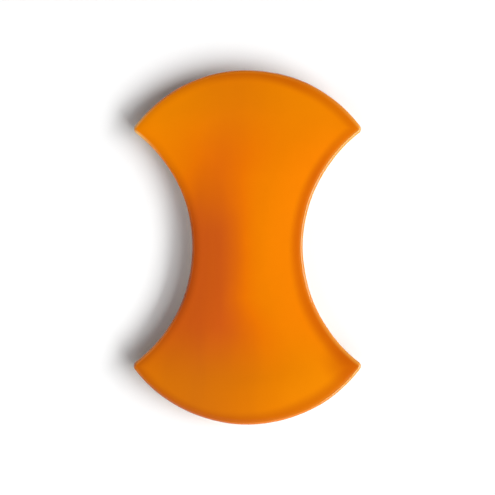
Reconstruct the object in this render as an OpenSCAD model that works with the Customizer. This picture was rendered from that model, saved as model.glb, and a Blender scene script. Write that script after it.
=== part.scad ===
// Spool-shaped floor and wall tile, hand cut from clay slab and glazed on the face.
// Four equal arcs bound it: two bulge out as the ends and two curve in as the flanks,
// so the rounded end of each tile nests in the hollow flank of its neighbour.
// Origin: centre of the back. +Y runs along the tile, +Z is the glazed face's side.

/* [Laying grid] */
// Distance between grid crossings: one tile stands for each square of this side
pitch = 100; // [80:1:140]
// Rise of each curved side over the straight line between two crossings
bulge = 26; // [18:0.5:30]
// Open joint between neighbouring tiles, which all but touch when they are laid dry
joint = 0.5; // [0.25:0.25:4]

/* [Slab] */
// Thickness at the flat of the face
thickness = 10; // [8:0.5:16]
// How far the foot of each side leans in under the face
side_lean = 0.4; // [0.1:0.1:1]
// Bevel where the sides meet the back
foot_bevel = 0.6; // [0.3:0.1:1.2]
// Radius of the four blunted horns, seen from above
horn_r = 2.5; // [1.2:0.1:3]

/* [Face] */
// Width of the soft fall from the flat of the face to the edge
fall_w = 18; // [10:0.5:20]
// Height that the face loses over the fall
fall_h = 1.5; // [1:0.1:2]
// Radius of the sponged arris round the face
arris_r = 1.5; // [0.8:0.1:2]

/* [Back] */
// Distance between the combed keying grooves
key_pitch = 10; // [8:0.5:16]
// Width of each keying groove
key_w = 5; // [3:0.25:6]
// Depth of each keying groove
key_depth = 1.2; // [0.6:0.1:1.6]
// Plain border left between the ends of the grooves and the tile's edge
key_rim = 8; // [6:0.5:12]

/* [Hidden] */

$fn = 180;

// How far each cutting tool runs past the surface that it cuts
past = 1;
// Angle between the horn's arc and the arcs on either side of it
horn_meet = 12;
// Slope at which the fall leaves the flat of the face
fall_start = 1.5;

// The arc through two grid crossings, and the tile's own arcs half a joint inside it
grid_r = (pitch * pitch / 4 + bulge * bulge) / (2 * bulge);
end_r = grid_r - joint / 2;
flank_r = grid_r + joint / 2;
end_centre = [0, pitch / 2 + bulge - grid_r];
flank_centre = [pitch / 2 - bulge + grid_r, 0];
length = 2 * (end_centre.y + end_r);

// The fall: one arc from the flat of the face down to the edge
fall_angle = atan(fall_h / fall_w) - fall_start;
fall_r = norm([fall_w, fall_h]) / (2 * sin(fall_angle));
fall_centre = [-fall_w - fall_r * sin(fall_start), thickness - fall_r * cos(fall_start)];
// The section reaches half way to the top of that arc, which lies above the flat of the face
section_w = (fall_w - fall_centre.x) / 2;
// The slab's core and the flank cutter lap over the section, between its end and the fall
lap_w = (fall_w + section_w) / 2;

// The arris: a small arc that touches the fall from inside and ends on the edge line
arris_rise = sqrt(pow(fall_r - arris_r, 2) - pow(fall_centre.x + arris_r, 2));
arris_centre = [-arris_r, fall_centre.y + arris_rise];
arris_touch = fall_centre + (arris_centre - fall_centre) * fall_r / (fall_r - arris_r);

// The horn: a small arc that meets the end arc and the flank arc at a slight angle
horn_seat = horn_r * cos(horn_meet);
horn_centre = crossing(end_centre, end_r - horn_seat, flank_centre, flank_r + horn_seat);

// The groove: a shallow segment of a round bar
key_r = (key_w * key_w / 4 + key_depth * key_depth) / (2 * key_depth);
key_pairs = floor((length / 2 - key_rim - key_w) / key_pitch + 0.5);

// Where two circles cross, on the left of the line from the first centre to the second
function crossing(c1, r1, c2, r2) =
    let (
        span = norm(c2 - c1),
        along = (r1 * r1 - r2 * r2 + span * span) / (2 * span),
        aside = sqrt(r1 * r1 - along * along),
        line = (c2 - c1) / span
    )
    c1 + along * line + aside * [-line.y, line.x];

// Section of the slab's rim, with its outermost point on x = 0 and the slab on the left
module rim_section() {
    // leaning side and bevelled foot
    polygon([
        [-section_w, 0],
        [-side_lean - foot_bevel, 0],
        [-side_lean * (1 - foot_bevel / arris_centre.y), foot_bevel],
        [0, arris_centre.y],
        [-section_w, arris_centre.y]
    ]);
    // sponged arris
    translate(arris_centre) circle(arris_r);
    // soft fall of the face
    intersection() {
        translate(fall_centre) circle(fall_r);
        translate([-section_w, foot_bevel]) square([section_w + arris_touch.x, thickness]);
    }
}

// Both ends made alike. Where a shallow bulge puts their centres past the middle of the tile,
// the rounds overrun it, and the tile is what the two of them share.
module both_ends() {
    if (end_centre.y > 0) {
        children();
        mirror([0, 1, 0]) children();
    } else {
        intersection() {
            children();
            mirror([0, 1, 0]) children();
        }
    }
}

// Round slab that carries one bulging end
module end_slab() {
    translate(end_centre) rotate_extrude() {
        square([end_r - lap_w, thickness]);
        intersection() {
            translate([end_r, 0]) rim_section();
            square([end_r + past, thickness]);
        }
    }
}

// Round cutter that leaves one hollow flank, with the same rim as the ends
module flank_cutter() {
    translate(flank_centre) rotate_extrude() difference() {
        translate([0, -past]) square([flank_r + lap_w, thickness + 2 * past]);
        translate([flank_r, 0]) mirror([1, 0]) rim_section();
    }
}

// Turned post that bounds one horn, with the same rim as the ends and flanks
module horn_post() {
    translate(horn_centre) rotate_extrude() intersection() {
        translate([horn_r, 0]) rim_section();
        square([horn_r + past, thickness + past]);
    }
}

// What is trimmed off the sharp point where an end arc meets a flank arc
module horn_cutter() {
    to_end = (horn_centre - end_centre) / norm(horn_centre - end_centre);
    to_flank = (flank_centre - horn_centre) / norm(flank_centre - horn_centre);
    reach = 2 * horn_r;
    difference() {
        translate([horn_centre.x, horn_centre.y, -past])
            linear_extrude(thickness + 2 * past)
                polygon([[0, 0], reach * to_end, reach * (to_end + to_flank), reach * to_flank]);
        horn_post();
    }
}

// What stands at one corner, repeated at all four
module at_four_corners() {
    for (side = [0, 1], end = [0, 1])
        mirror([side, 0, 0]) mirror([0, end, 0]) children();
}

// Plan of the tile, drawn in by an even border
module plan(border) {
    difference() {
        both_ends() translate(end_centre) circle(end_r - border);
        for (side = [-1, 1])
            translate(side * flank_centre) circle(flank_r + border);
    }
}

// Combed grooves across the back, stopped short of the edge, with a land on the centre line
module keying() {
    intersection() {
        for (pair = [1 : key_pairs], end = [-1, 1])
            translate([0, end * (pair - 0.5) * key_pitch, key_depth - key_r])
                rotate([0, 90, 0]) cylinder(r = key_r, h = 2 * flank_centre.x, center = true);
        translate([0, 0, -past]) linear_extrude(past + key_depth + past) plan(key_rim);
    }
}

module tile() {
    color("darkorange") difference() {
        both_ends() end_slab();
        flank_cutter();
        mirror([1, 0, 0]) flank_cutter();
        at_four_corners() horn_cutter();
        keying();
    }
}

tile();
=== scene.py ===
import math

import bpy
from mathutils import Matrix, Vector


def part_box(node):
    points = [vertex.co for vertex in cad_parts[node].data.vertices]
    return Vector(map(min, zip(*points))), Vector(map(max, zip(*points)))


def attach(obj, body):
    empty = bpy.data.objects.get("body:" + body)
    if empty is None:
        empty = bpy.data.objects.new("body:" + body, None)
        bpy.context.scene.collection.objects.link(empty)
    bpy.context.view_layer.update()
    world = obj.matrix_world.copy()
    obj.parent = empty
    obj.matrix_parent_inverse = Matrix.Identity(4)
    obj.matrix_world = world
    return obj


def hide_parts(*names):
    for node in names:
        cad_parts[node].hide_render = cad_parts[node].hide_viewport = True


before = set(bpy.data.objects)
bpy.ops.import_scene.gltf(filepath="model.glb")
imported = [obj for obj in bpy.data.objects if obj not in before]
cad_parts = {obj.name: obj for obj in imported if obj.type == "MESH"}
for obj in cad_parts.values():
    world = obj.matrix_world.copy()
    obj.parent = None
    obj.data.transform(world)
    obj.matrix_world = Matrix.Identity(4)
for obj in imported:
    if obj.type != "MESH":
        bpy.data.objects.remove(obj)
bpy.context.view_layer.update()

# ---------------------------------------------------------------------------
# Tile
# One slab of buff clay, cut to a spool by four arcs, its face softened with a
# wet sponge and its back combed as a key for the mortar. It is dipped face down
# in orange glaze, which stops in a thick wavy lip part way down the sides.
# ---------------------------------------------------------------------------
MM = 0.001

low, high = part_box("tile")
tile_length = high.y - low.y
tile_thickness = high.z - low.z

# Neighbours share each arc, and every tile stops half a joint short of it
laying_pitch = 100 * MM
joint_width = 0.5 * MM
bulge = (tile_length + joint_width - laying_pitch) / 2
shared_arc = (laying_pitch**2 / 4 + bulge**2) / (2 * bulge)

# Pairs of keying grooves, as many as leave the border plain
key_pitch = 10 * MM
key_width = 5 * MM
key_border = 8 * MM
key_pairs = math.floor((tile_length / 2 - key_border - key_width) / key_pitch + 0.5)

# What the tile's tree takes in
SHAPE_SIZES = {
    "End radius": shared_arc - joint_width / 2,
    "End centre": laying_pitch / 2 + bulge - shared_arc,
    "Flank radius": shared_arc + joint_width / 2,
    "Flank centre": laying_pitch / 2 - bulge + shared_arc,
    "Horn radius": 2.5 * MM,
    "Thickness": tile_thickness,
    "Fall width": 18 * MM,
    "Fall height": 1.5 * MM,
    "Arris radius": 1.5 * MM,
    "Side lean": 0.4 * MM,
    "Foot bevel": 0.6 * MM,
    "Glaze line": 3.6 * MM,
    "Glaze line wave": 1.4 * MM,
    "Glaze runs": 1.7 * MM,
    "Glaze lip": 0.35 * MM,
    "Glaze roll": 0.06 * MM,
    "Key pitch": key_pitch,
    "Key width": key_width,
    "Key depth": 1.2 * MM,
    "Key border": key_border,
    "Key pairs": key_pairs,
    "Outline wobble": 0.35 * MM,
    "Face wave": 0.2 * MM,
    "Seed": 7,
}
# The fall of the face steepens by this power, and the arris turns this far to meet its slope
FALL_POWER = 1.6
ARRIS_TURN = math.radians(82.4)

# Grid of the slab: across, along, and up the sides
CUTS_ACROSS = 97
CUTS_ALONG = 305
CUTS_UP = 27
# How strongly the cuts crowd towards the edges, where the section turns
CROWDING = 0.42
# Keeps a divisor off zero
TINY = 0.00001
# Shares of the way up the side grid at which the bevel, the bare clay, the lip
# and the glazed side end; the arris takes the rest
BEVEL_TO = 0.12
CLAY_TO = 0.36
LIP_TO = 0.56
SIDE_TO = 0.70


class Term:
    """A socket of a node tree, with which sums and products are written as formulas."""

    def __init__(self, tree, socket):
        self.tree = tree
        self.socket = socket

    def math(self, operation, *others):
        node = self.tree.nodes.new("ShaderNodeMath")
        node.operation = operation
        for socket, value in zip(node.inputs, (self, *others)):
            feed(self.tree, socket, value)
        return Term(self.tree, node.outputs[0])

    def __add__(self, other):
        return self.math("ADD", other)

    def __sub__(self, other):
        return self.math("SUBTRACT", other)

    def __rsub__(self, other):
        return self.math("MULTIPLY_ADD", -1.0, other)

    def __mul__(self, other):
        return self.math("MULTIPLY", other)

    def __truediv__(self, other):
        return self.math("DIVIDE", other)

    def __pow__(self, other):
        return self.math("POWER", other)

    def sqrt(self):
        return self.math("SQRT")

    def abs(self):
        return self.math("ABSOLUTE")

    def sign(self):
        return self.math("SIGN")

    def least(self, other):
        return self.math("MINIMUM", other)

    def most(self, other):
        return self.math("MAXIMUM", other)

    def above(self, other):
        return self.math("GREATER_THAN", other)

    def soft_least(self, other, reach):
        return self.math("SMOOTH_MIN", other, reach)

    def ramp(self, start, end, smooth=False):
        """0 at start, 1 at end, held beyond both."""
        node = self.tree.nodes.new("ShaderNodeMapRange")
        node.interpolation_type = "SMOOTHSTEP" if smooth else "LINEAR"
        for name, value in (("Value", self), ("From Min", start), ("From Max", end)):
            feed(self.tree, node.inputs[name], value)
        return Term(self.tree, node.outputs["Result"])

    def towards(self, other, share):
        """This at share 0, other at share 1."""
        return self + (other - self) * share


def feed(tree, socket, value):
    """Links a Term to a socket, or sets the socket to a plain value."""
    if isinstance(value, Term):
        tree.links.new(value.socket, socket)
    else:
        socket.default_value = value


def add_node(tree, kind, inputs=(), **settings):
    """A new node with its settings made and its inputs fed, by name or by number."""
    node = tree.nodes.new(kind)
    for name, value in settings.items():
        setattr(node, name, value)
    for key, value in dict(inputs).items():
        feed(tree, node.inputs[key], value)
    return node


def split_vector(tree, place):
    """The x, y and z of a place."""
    node = add_node(tree, "ShaderNodeSeparateXYZ", {0: place})
    return [Term(tree, out) for out in node.outputs]


def join_vector(tree, x, y, z=0.0):
    node = add_node(tree, "ShaderNodeCombineXYZ", {0: x, 1: y, 2: z})
    return Term(tree, node.outputs[0])


def noise(tree, place, scale, detail=2.0, seed=None):
    """Soft noise between 0 and 1, read at place, with scale waves to the metre."""
    kind = "3D" if seed is None else "4D"
    node = add_node(
        tree,
        "ShaderNodeTexNoise",
        {"Vector": place, "Scale": scale, "Detail": detail},
        noise_dimensions=kind,
    )
    if seed is not None:
        feed(tree, node.inputs["W"], seed)
    return Term(tree, node.outputs[0])


def open_tile_tree():
    """The tree with its sockets: returns it, its inputs as Terms, and its output node."""
    tree = bpy.data.node_groups.new("spool_tile", "GeometryNodeTree")
    sockets = tree.interface
    sockets.new_socket("Geometry", in_out="INPUT", socket_type="NodeSocketGeometry")
    for name in SHAPE_SIZES:
        sockets.new_socket(name, in_out="INPUT", socket_type="NodeSocketFloat")
    for name in ("Glaze", "Clay"):
        sockets.new_socket(name, in_out="INPUT", socket_type="NodeSocketMaterial")
    sockets.new_socket("Geometry", in_out="OUTPUT", socket_type="NodeSocketGeometry")
    group_in = tree.nodes.new("NodeGroupInput")
    group_out = tree.nodes.new("NodeGroupOutput")
    size = {s.name: Term(tree, s) for s in group_in.outputs if s.name}
    return tree, size, group_out


def add_box_grid(tree):
    """A closed box grid and its coordinates from -1 to 1, which place every point."""
    cuts = {"Vertices X": CUTS_ACROSS, "Vertices Y": CUTS_ALONG, "Vertices Z": CUTS_UP}
    box = add_node(tree, "GeometryNodeMeshCube", {"Size": (2, 2, 2), **cuts})
    position = add_node(tree, "GeometryNodeInputPosition")
    held = add_node(tree, "GeometryNodeCaptureAttribute")
    held.capture_items.new("VECTOR", "Grid")
    feed(tree, held.inputs["Geometry"], Term(tree, box.outputs["Mesh"]))
    feed(tree, held.inputs["Grid"], Term(tree, position.outputs["Position"]))
    grid = Term(tree, held.outputs["Grid"])
    return Term(tree, held.outputs["Geometry"]), split_vector(tree, grid)


def glaze_line_height(tree, size, plan_place):
    """A slow wave, and runs where the glaze crept down further."""
    slow = noise(tree, plan_place, 30.0, detail=1.0, seed=size["Seed"] + 11.0).ramp(0.25, 0.75)
    runs = noise(tree, plan_place, 75.0, detail=1.0, seed=size["Seed"] + 13.0)
    runs = runs.ramp(0.5, 0.78, smooth=True)
    return size["Glaze line"] + (slow - 0.5) * size["Glaze line wave"] - runs * size["Glaze runs"]


def side_section(size, rise, line):
    """Height and inset from the outline at each share of the rise up the side."""
    lean, bevel = size["Side lean"], size["Foot bevel"]
    arris, lip = size["Arris radius"], size["Glaze lip"]
    edge_share = 1 - arris * (1 - math.cos(ARRIS_TURN)) / size["Fall width"]
    touch_height = size["Thickness"] - size["Fall height"] * edge_share**FALL_POWER
    arris_foot = touch_height - arris * math.sin(ARRIS_TURN)

    on_bevel = rise.ramp(0.0, BEVEL_TO)
    on_clay = rise.ramp(BEVEL_TO, CLAY_TO)
    on_lip = rise.ramp(CLAY_TO, LIP_TO)
    on_side = rise.ramp(LIP_TO, SIDE_TO)
    on_arris = rise.ramp(SIDE_TO, 1.0) * ARRIS_TURN

    # The lip is three times as high as it stands out, and swells out in its lower part
    lip_turn = on_lip * math.pi
    lip_height = lip * 3.0
    height = (
        on_bevel * bevel
        + on_clay * (line - bevel)
        + (0.5 - lip_turn.math("COSINE") * 0.5) * lip_height
        + on_side * (arris_foot - line - lip_height)
        + on_arris.math("SINE") * arris
    )
    lean_left = (1 - height / arris_foot).most(0.0) * lean
    bare = 1 - (on_lip * 2.2).least(1.0)
    lip_out = lip * (1 - (1 - bare) ** 0.5)
    inset = lean_left + (1 - on_bevel) * bevel + lip_out + (1 - on_arris.math("COSINE")) * arris
    return height, inset


def place_on_plan(size, u, v, inset):
    """Where the grid point u, v comes on the spool, drawn in by the inset."""
    # Arcs of the outline at that inset, and the point where they cross
    end_arc = size["End radius"] - inset
    flank_arc = size["Flank radius"] + inset
    end_at, flank_at = size["End centre"], size["Flank centre"]
    span = (end_at * end_at + flank_at * flank_at).sqrt()
    along = (end_arc * end_arc - flank_arc * flank_arc + span * span) / (span * 2.0)
    aside = (end_arc * end_arc - along * along).sqrt()
    tip_x = (along * flank_at + aside * end_at) / span
    tip_y = end_at + (aside * flank_at - along * end_at) / span

    # Horns: the square corner of the grid is drawn in to a quarter round
    corner_scale = tip_x * end_arc / (end_arc * end_arc - tip_x * tip_x).sqrt()
    corner = ((size["Horn radius"] - inset) / corner_scale).most(TINY)
    over_u = ((u.abs() - 1.0) / corner + 1.0).most(0.0)
    over_v = ((v.abs() - 1.0) / corner + 1.0).most(0.0)
    longest = over_u.most(over_v)
    across_corner = (over_u * over_u + over_v * over_v).sqrt().most(TINY)
    drawn_in = over_u.least(over_v).above(0.0) * (1 - longest / across_corner)
    u = u - u.sign() * over_u * corner * drawn_in
    v = v - v.sign() * over_v * corner * drawn_in

    # Straight grid lines become arcs that fade from flank to flank and end to end
    x = u * (flank_at - (flank_arc * flank_arc - (tip_y * v) ** 2.0).sqrt())
    y = v * (end_at + (end_arc * end_arc - (tip_x * u) ** 2.0).sqrt())
    return x, y


def edge_distances(size, x, y):
    """Distance from the outline on the plan: true, and as a sponge feels it."""
    to_end = size["End radius"] - (x * x + (y.abs() - size["End centre"]) ** 2.0).sqrt()
    to_flank = ((x.abs() - size["Flank centre"]) ** 2.0 + y * y).sqrt() - size["Flank radius"]
    # Away from the horns the two distances pass softly into each other
    reach = ((to_end + to_flank) * 0.7).least(14 * MM).most(1 * MM)
    return to_end.least(to_flank), to_end.soft_least(to_flank, reach)


def face_level(tree, size, place, inside):
    """Height of the face: a soft fall to every edge, and slow waves under the glaze."""
    share = (1 - inside / size["Fall width"]).most(0.0)
    waves = noise(tree, place, 28.0, detail=2.5, seed=size["Seed"] + 3.0).ramp(0.25, 0.75)
    # Glaze draws back from the arris and sets in a low roll beside it
    roll = inside.ramp(0.8 * MM, 2.4 * MM, smooth=True)
    roll = roll * (1 - inside.ramp(2.4 * MM, 6.5 * MM, smooth=True))
    return (
        size["Thickness"]
        - size["Fall height"] * share**FALL_POWER
        - waves * size["Face wave"]
        + roll * size["Glaze roll"]
    )


def back_level(tree, size, place, y, from_edge):
    """Height of the back: combed grooves, a little unsteady, run out before the border."""
    pitch, width, depth = size["Key pitch"], size["Key width"], size["Key depth"]
    hand = noise(tree, place, 30.0, detail=1.0, seed=size["Seed"] + 5.0) - 0.5
    combed_y = y + hand * 0.8 * MM
    off_groove = ((combed_y / pitch).math("FRACT") - 0.5) * pitch
    key_arc = (width * width / 4.0 + depth * depth) / (depth * 2.0)
    groove = (key_arc * key_arc - off_groove * off_groove).sqrt() - (key_arc - depth)
    border = size["Key border"]
    run_out = from_edge.ramp(border, border + 1.6 * MM, smooth=True)
    combed = 1 - y.abs().above(size["Key pairs"] * pitch)
    pressed = noise(tree, place, 60.0, seed=size["Seed"] + 9.0) * 0.3 + 0.85
    return groove.most(0.0) * run_out * combed * pressed


def work_on(tree, shape, kind, inputs=(), **settings):
    """The shape after one more node has worked on it."""
    node = add_node(tree, kind, {"Geometry": shape, **dict(inputs)}, **settings)
    return Term(tree, node.outputs["Geometry"])


def make_tile_tree():
    """The slab: a box grid whose points are placed by formula, in glaze and bare clay."""
    tree, size, group_out = open_tile_tree()
    shape, (across, along, up) = add_box_grid(tree)
    u = across * (1 + CROWDING) - across * across * across * CROWDING
    v = along * (1 + CROWDING) - along * along * along * CROWDING
    rise = up.ramp(-1.0, 1.0)

    # Outline wobble of a slab cut by hand, always inwards
    plan_place = join_vector(tree, u * size["Flank radius"], v * size["End radius"])
    hand_cut = noise(tree, plan_place, 28.0, detail=1.0, seed=size["Seed"]).ramp(0.3, 0.7)
    wobble = hand_cut * size["Outline wobble"]

    line = glaze_line_height(tree, size, plan_place)
    side_height, inset = side_section(size, rise, line)
    x, y = place_on_plan(size, u, v, inset + wobble)
    from_edge, felt_edge = edge_distances(size, x, y)
    place = join_vector(tree, x, y)
    face_height = face_level(tree, size, place, felt_edge - wobble)
    back_height = back_level(tree, size, place, y, from_edge)
    # The grid's topmost points make the face, and its lowest the back
    on_face = up.above(0.9999)
    on_back = 1 - up.above(-0.9999)
    z = side_height.towards(face_height, on_face).towards(back_height, on_back)
    placed = join_vector(tree, x, y, z)
    shape = work_on(tree, shape, "GeometryNodeSetPosition", {"Position": placed})

    # Kept on the mesh for the glaze and the clay
    for name, value in (("from_edge", from_edge), ("over_line", z - line)):
        kept = {"Name": name, "Value": value}
        shape = work_on(tree, shape, "GeometryNodeStoreNamedAttribute", kept, data_type="FLOAT")

    shape = work_on(tree, shape, "GeometryNodeSetShadeSmooth")
    shape = work_on(tree, shape, "GeometryNodeRealizeInstances")
    shape = work_on(tree, shape, "GeometryNodeSetMaterial", {"Material": size["Glaze"]})
    below_lip = add_node(tree, "FunctionNodeCompare", {0: rise, 1: CLAY_TO}, operation="LESS_THAN")
    bared = {"Material": size["Clay"], "Selection": Term(tree, below_lip.outputs[0])}
    shape = work_on(tree, shape, "GeometryNodeSetMaterial", bared)
    feed(tree, group_out.inputs["Geometry"], shape)
    return tree


def run_nodes(name, tree, values):
    """The tree's result as a plain mesh object, with no modifier left on it."""
    maker = bpy.data.objects.new(name + "_maker", bpy.data.meshes.new(name + "_maker"))
    bpy.context.scene.collection.objects.link(maker)
    modifier = maker.modifiers.new("nodes", "NODES")
    modifier.node_group = tree
    for item in tree.interface.items_tree:
        if item.in_out == "INPUT" and item.name in values:
            modifier[item.identifier] = values[item.name]
    graph = bpy.context.evaluated_depsgraph_get()
    mesh = bpy.data.meshes.new_from_object(maker.evaluated_get(graph))
    bpy.data.objects.remove(maker)
    mesh.materials.pop(index=0)  # the box grid comes with an empty one
    mesh.name = name
    piece = bpy.data.objects.new(name, mesh)
    bpy.context.scene.collection.objects.link(piece)
    return piece


def srgb(red, green, blue):
    """A colour given on the 0 to 255 scale of a screen, as the shader takes it."""
    parts = [value / 255 for value in (red, green, blue)]
    linear = [p / 12.92 if p <= 0.04045 else ((p + 0.055) / 1.055) ** 2.4 for p in parts]
    return (*linear, 1.0)


def blend(tree, first, second, share):
    """Two colours mixed by share; the node's sockets 6, 7 and 2 are its colours."""
    node = add_node(tree, "ShaderNodeMix", {0: share, 6: first, 7: second}, data_type="RGBA")
    return Term(tree, node.outputs[2])


def colour_scale(tree, share, *stops):
    """A colour read off a scale whose stops are given as (share, colour)."""
    node = add_node(tree, "ShaderNodeValToRGB", {0: share})
    elements = node.color_ramp.elements
    while len(elements) < len(stops):
        elements.new(0.5)
    for element, (at, colour) in zip(elements, stops):
        element.position = at
        element.color = colour
    return Term(tree, node.outputs["Color"])


def new_finish(name):
    """A new material, its tree and its shader."""
    material = bpy.data.materials.new(name)
    material.use_nodes = True
    tree = material.node_tree
    return material, tree, tree.nodes["Principled BSDF"]


def own_place(tree):
    """The place on the piece, in its own coordinates."""
    return Term(tree, add_node(tree, "ShaderNodeTexCoord").outputs["Object"])


def kept_value(tree, name):
    """A value that the shape's tree kept on the mesh."""
    node = add_node(tree, "ShaderNodeAttribute", attribute_name=name)
    return Term(tree, node.outputs["Fac"])


def add_relief(tree, shader, relief):
    """Fine relief in the surface, given in metres."""
    bump = add_node(tree, "ShaderNodeBump", {"Height": relief, "Distance": 1.0, "Strength": 1.0})
    feed(tree, shader.inputs["Normal"], Term(tree, bump.outputs["Normal"]))


def lit_side_share(x):
    """0 on the left of the waist, 1 on its right, where the key light falls; it sets painted shade
    and painted highlight in the glaze.
    """
    return x.ramp(-20 * MM, 22 * MM)


def burnt_share(tree, x, y, smoky_x, smoky_y):
    """How far the glaze is burnt; the smoky x and y are x and y led astray like smoke."""
    # Flame mark down the left of the waist, spreading and paling towards the foot
    spread_left = smoky_y.ramp(-35 * MM, -60 * MM) * -12 * MM - 15 * MM
    spread_right = smoky_y.ramp(-22 * MM, -54 * MM) * 28 * MM + 7 * MM
    flame = 1 - smoky_x.ramp(spread_left, spread_right, smooth=True)
    flame = flame * (1 - smoky_y.ramp(5 * MM, 40 * MM, smooth=True))
    flame = flame * (1 - smoky_y.ramp(-34 * MM, -62 * MM) * 0.16)
    flame = flame * (1 - smoky_x.ramp(-20 * MM, -42 * MM) * 0.3)
    # Smoke over the middle of the head
    smoke_middle = smoky_y.ramp(30 * MM, 60 * MM) * 5 * MM - 12 * MM
    smoke_reach = smoky_y.ramp(30 * MM, 65 * MM) * 14 * MM + 22 * MM
    smoke = 1 - (smoky_x - smoke_middle).abs().ramp(0.0, smoke_reach, smooth=True)
    smoke = smoke * smoky_y.ramp(2 * MM, 36 * MM, smooth=True) * 0.5
    # Faint streaks along the tile, as the glaze was brushed
    brushed = noise(tree, join_vector(tree, x, y * 0.15), 160.0, seed=6.0) - 0.5
    burnt = 1 - (1 - flame) * (1 - smoke)
    return burnt + brushed * 0.25 * burnt


def glaze_tone(tree, burnt, y):
    """The glaze from clear to burnt: reddest at the waist, yellower at head and foot. The head's
    scale is painted a little lighter and the foot's a little darker, to even out the key light,
    which falls more on the foot.
    """
    waist = colour_scale(
        tree,
        burnt,
        (0.0, srgb(240, 128, 0)),
        (0.3, srgb(235, 117, 2)),
        (0.6, srgb(221, 104, 10)),
        (1.0, srgb(206, 89, 22)),
    )
    head = colour_scale(
        tree,
        burnt,
        (0.0, srgb(244, 138, 0)),
        (0.3, srgb(236, 131, 1)),
        (0.6, srgb(226, 121, 5)),
        (1.0, srgb(211, 108, 14)),
    )
    foot = colour_scale(
        tree,
        burnt,
        (0.0, srgb(234, 133, 0)),
        (0.3, srgb(229, 126, 1)),
        (0.6, srgb(217, 116, 6)),
        (1.0, srgb(203, 107, 15)),
    )
    tone = blend(tree, waist, head, y.ramp(34 * MM, 66 * MM, smooth=True))
    return blend(tree, tone, foot, y.ramp(-30 * MM, -60 * MM, smooth=True))


def colour_rim(tree, colour, place, x, y, smoky_x, smoky_y):
    """Glaze gathered in a dark line inside the rim, and thinned on the arris, with painted shade
    and painted highlight by the side the key light falls on.
    """
    from_edge = kept_value(tree, "from_edge")
    lit_right = lit_side_share(x)
    headwards = y.ramp(-40 * MM, 40 * MM)
    at_foot = y.ramp(-44 * MM, -60 * MM)
    at_end = y.abs().ramp(50 * MM, 62 * MM)
    horn_x, horn_y = high.x, laying_pitch / 2
    from_horn = ((x.abs() - horn_x) ** 2.0 + (y.abs() - horn_y) ** 2.0).sqrt()
    by_horn = 1 - from_horn.ramp(1 * MM, 30 * MM)

    # Thick glaze gathers inside the arris, most along the burnt flank; on the right and at the
    # foot, where the key light falls, the line is made darker and wider as painted shade
    gather_from = lit_right * 2.2 * MM + 0.6 * MM
    gather_to = lit_right * (2.8 - headwards * 1.4) * MM + 5.0 * MM
    gather = 1 - from_edge.ramp(gather_from, gather_to, smooth=True)
    scorched = 1 - (y + 7 * MM).abs().ramp(12 * MM, 31 * MM, smooth=True)
    scorched = scorched * (1 - x.ramp(-26 * MM, -12 * MM))
    uneven = noise(tree, place, 45.0, seed=3.0).ramp(0.25, 0.75)
    strength = uneven * 0.16 + scorched * 0.34 + lit_right * 0.18 + 0.25
    strength = strength + at_foot * (0.13 - lit_right * 0.2)
    strength = strength * (1 - by_horn * y.ramp(20 * MM, 40 * MM) * (0.8 - lit_right * 0.5))
    amber = blend(tree, srgb(164, 60, 10), srgb(180, 64, 3), lit_right)
    colour = blend(tree, colour, amber, gather * strength)

    # A burnt patch just inside the horn on the right of the foot
    patch_x, patch_y = 44 * MM, -47 * MM
    patch = ((smoky_x - patch_x) ** 2.0 + (smoky_y - patch_y) ** 2.0).sqrt()
    patch = 1 - patch.ramp(3 * MM, 14 * MM, smooth=True)
    colour = blend(tree, colour, srgb(196, 84, 3), patch * 0.55)

    # On the arris it breaks to clear orange on the left and pale honey on the right, and it is
    # nearly bare at the horns on the left, most of all at the head. The left arris is also painted
    # paler to lift the shade it gets from the key light, and the honey on the right is partly a
    # painted highlight.
    arris_from = lit_right * 0.4 * MM + 0.5 * MM
    arris_to = lit_right * 0.6 * MM + 1.7 * MM
    on_arris = 1 - from_edge.ramp(arris_from, arris_to, smooth=True)
    bare = (1 - from_horn.ramp(3 * MM, 18 * MM)) * (headwards * 0.65 + 0.25)
    thin_glaze_and_highlight = blend(tree, srgb(255, 136, 6), srgb(255, 206, 118), bare)
    thin_glaze_and_highlight = blend(tree, thin_glaze_and_highlight, srgb(238, 164, 60), lit_right)
    thin_and_light_share = by_horn * 0.3 + 0.6 - lit_right * (at_end * 0.2 + 0.24)
    thin_and_light_share = thin_and_light_share * (1 - scorched * 0.75) * (1 - at_foot * (1 - lit_right))
    return blend(tree, colour, thin_glaze_and_highlight, on_arris * thin_and_light_share)


def side_tone(tree, x, y, z):
    """Honey brown runs down the sides, darkest in the lip."""
    streaks = noise(tree, join_vector(tree, x, y, z * 0.12), 260.0, seed=5.0).ramp(0.3, 0.7)
    runs = blend(tree, srgb(205, 98, 14), srgb(158, 64, 12), streaks)
    in_lip = 1 - kept_value(tree, "over_line").ramp(0.3 * MM, 1.6 * MM, smooth=True)
    return blend(tree, runs, srgb(128, 50, 12), in_lip * 0.7)


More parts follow.
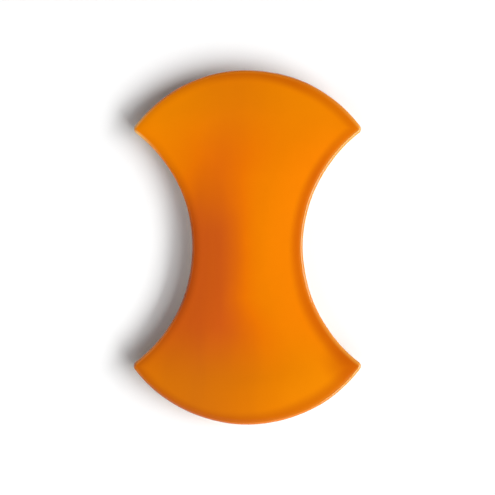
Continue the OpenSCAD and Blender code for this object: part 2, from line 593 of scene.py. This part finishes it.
def make_glaze():
    """Orange glaze, pale where it thins on the arris and burnt where it lies thick."""
    material, tree, shader = new_finish("orange_glaze")
    place = own_place(tree)
    x, y, z = split_vector(tree, place)
    # Edges of the burnt places wander like smoke
    smoky_x = x + (noise(tree, place, 24.0, detail=3.0, seed=1.0) - 0.5) * 8 * MM
    smoky_y = y + (noise(tree, place, 18.0, detail=3.0, seed=2.0) - 0.5) * 16 * MM

    colour = glaze_tone(tree, burnt_share(tree, x, y, smoky_x, smoky_y), y)
    # Darker and redder towards the right of the head: painted shade, evening out the key light
    # that falls on that side
    right_head_shade = lit_side_share(x) * y.ramp(28 * MM, 56 * MM, smooth=True)
    colour = blend(tree, colour, srgb(196, 92, 1), right_head_shade * 0.16)
    colour = colour_rim(tree, colour, place, x, y, smoky_x, smoky_y)
    # The face's colours reach down over the arris, and the runs of the sides begin there
    on_top = z.ramp(tile_thickness - 3.6 * MM, tile_thickness - 2.2 * MM, smooth=True)
    colour = blend(tree, side_tone(tree, x, y, z), colour, on_top)
    mottle = noise(tree, place, 160.0, detail=3.0, seed=4.0).ramp(0.3, 0.7)
    colour = blend(tree, colour, srgb(205, 100, 10), mottle * 0.05)
    feed(tree, shader.inputs["Base Color"], colour)
    shader.inputs["Roughness"].default_value = 0.15
    shader.inputs["IOR"].default_value = 1.5

    # Orange peel and pinholes
    peel = noise(tree, place, 420.0)
    pits = add_node(tree, "ShaderNodeTexVoronoi", {"Vector": place, "Scale": 90.0})
    pinholes = Term(tree, pits.outputs["Distance"]).ramp(0.02, 0.06)
    add_relief(tree, shader, peel * 0.03 * MM + pinholes * 0.02 * MM)
    return material


def make_clay():
    """Bare buff clay of the back and the foot of the sides, with sand and grog in it."""
    material, tree, shader = new_finish("buff_clay")
    place = own_place(tree)
    x, y, z = split_vector(tree, place)
    cloud = noise(tree, place, 26.0, detail=4.0).ramp(0.25, 0.75)
    colour = blend(tree, srgb(228, 196, 156), srgb(210, 170, 126), cloud)
    sand = noise(tree, place, 1500.0).ramp(0.5, 0.7)
    colour = blend(tree, colour, srgb(184, 142, 100), sand * 0.45)
    grog = add_node(tree, "ShaderNodeTexVoronoi", {"Vector": place, "Scale": 420.0})
    speck = 1 - Term(tree, grog.outputs["Distance"]).ramp(0.08, 0.2)
    colour = blend(tree, colour, srgb(132, 84, 54), speck * 0.6)
    # Blushed by the glaze just above it
    blush = kept_value(tree, "over_line").ramp(-2.4 * MM, 0.1 * MM, smooth=True)
    colour = blend(tree, colour, srgb(202, 118, 60), blush * 0.5)
    feed(tree, shader.inputs["Base Color"], colour)
    shader.inputs["Roughness"].default_value = 0.85

    # Torn grain, and the drag of the cutting wire along the sides
    grain = noise(tree, place, 1300.0, detail=4.0)
    drag = noise(tree, join_vector(tree, x, y, z * 14.0), 110.0, detail=3.0, seed=1.0)
    add_relief(tree, shader, grain * 0.14 * MM + drag * 0.25 * MM + cloud * 0.15 * MM)
    return material


tile = run_nodes(
    "handmade_tile",
    make_tile_tree(),
    {**SHAPE_SIZES, "Glaze": make_glaze(), "Clay": make_clay()},
)
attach(tile, "root")
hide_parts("tile")

# ---------------------------------------------------------------------------
# Floor
# A plain white table top, painted matt and much larger than the tile, which
# lies on it loose and casts a soft shadow.
# ---------------------------------------------------------------------------
FLOOR_SIZE = 40.0
PAINT = (0.8, 0.8, 0.8, 1)
WHITE = (1, 1, 1, 1)

floor_mesh = bpy.data.meshes.new("floor")
half = FLOOR_SIZE / 2
floor_mesh.from_pydata(
    [(-half, -half, 0), (half, -half, 0), (half, half, 0), (-half, half, 0)], [], [(0, 1, 2, 3)]
)
floor = bpy.data.objects.new("floor", floor_mesh)
bpy.context.scene.collection.objects.link(floor)
floor_finish, floor_tree, floor_shader = new_finish("white_table")
# White to the camera and in reflections, a little less to the light that it throws back
rays = add_node(floor_tree, "ShaderNodeLightPath")
seen = Term(floor_tree, rays.outputs["Is Camera Ray"])
for kind in ("Is Glossy Ray", "Is Transmission Ray"):
    seen = seen.most(Term(floor_tree, rays.outputs[kind]))
feed(floor_tree, floor_shader.inputs["Base Color"], blend(floor_tree, PAINT, WHITE, seen))
floor_shader.inputs["Roughness"].default_value = 1.0
floor_shader.inputs["Specular IOR Level"].default_value = 0.0
floor_mesh.materials.append(floor_finish)

# ---------------------------------------------------------------------------
# Studio
# A strip light stands low on the right, with a smaller box above it for the
# glow on the face, and two broad weak boxes fill from the left and the front.
# The camera hangs straight above the tile.
# ---------------------------------------------------------------------------
middle = (low + high) / 2
# The tile takes this share of the view's height
TILE_SHARE = 0.72
view_width = tile_length / TILE_SHARE
# Lens and sensor in millimetres
LENS = 135
SENSOR = 36
LAMP_DISTANCE = 6.0


def soft_box(name, azimuth, elevation, width, height, light):
    """A lamp turned to the tile; azimuth is counted from +X towards +Y.

    A light of 1 falling on the floor shows a white there as white.
    """
    lamp = bpy.data.lights.new(name, "AREA")
    lamp.shape = "RECTANGLE"
    lamp.size = width
    lamp.size_y = height
    turn, lift = math.radians(azimuth), math.radians(elevation)
    spread = 1 + (width**2 + height**2) / (6 * LAMP_DISTANCE**2)
    lamp.energy = light * spread * (math.pi * LAMP_DISTANCE) ** 2 / math.sin(lift)
    box = bpy.data.objects.new(name, lamp)
    bpy.context.scene.collection.objects.link(box)
    box.location = (
        middle.x + LAMP_DISTANCE * math.cos(lift) * math.cos(turn),
        middle.y + LAMP_DISTANCE * math.cos(lift) * math.sin(turn),
        middle.z + LAMP_DISTANCE * math.sin(lift),
    )
    box.rotation_euler = (math.pi / 2 - lift, 0, turn + math.pi / 2)


soft_box("key", azimuth=-20, elevation=31.5, width=8.0, height=2.1, light=0.62)
soft_box("key_glow", azimuth=-20, elevation=52, width=5.0, height=2.3, light=0.19)
soft_box("fill_left", azimuth=150, elevation=34, width=8.0, height=6.5, light=0.1)
soft_box("fill_front", azimuth=-100, elevation=34, width=8.0, height=6.5, light=0.14)

world = bpy.data.worlds.new("studio")
bpy.context.scene.world = world
world.use_nodes = True
world.node_tree.nodes["Background"].inputs["Color"].default_value = WHITE
world.node_tree.nodes["Background"].inputs["Strength"].default_value = 0.01

lens = bpy.data.cameras.new("camera")
lens.lens = LENS
lens.sensor_width = SENSOR
camera = bpy.data.objects.new("camera", lens)
bpy.context.scene.collection.objects.link(camera)
camera.location = (middle.x, middle.y, high.z + view_width * LENS / SENSOR)
bpy.context.scene.camera = camera
bpy.context.scene.view_settings.view_transform = "Standard"
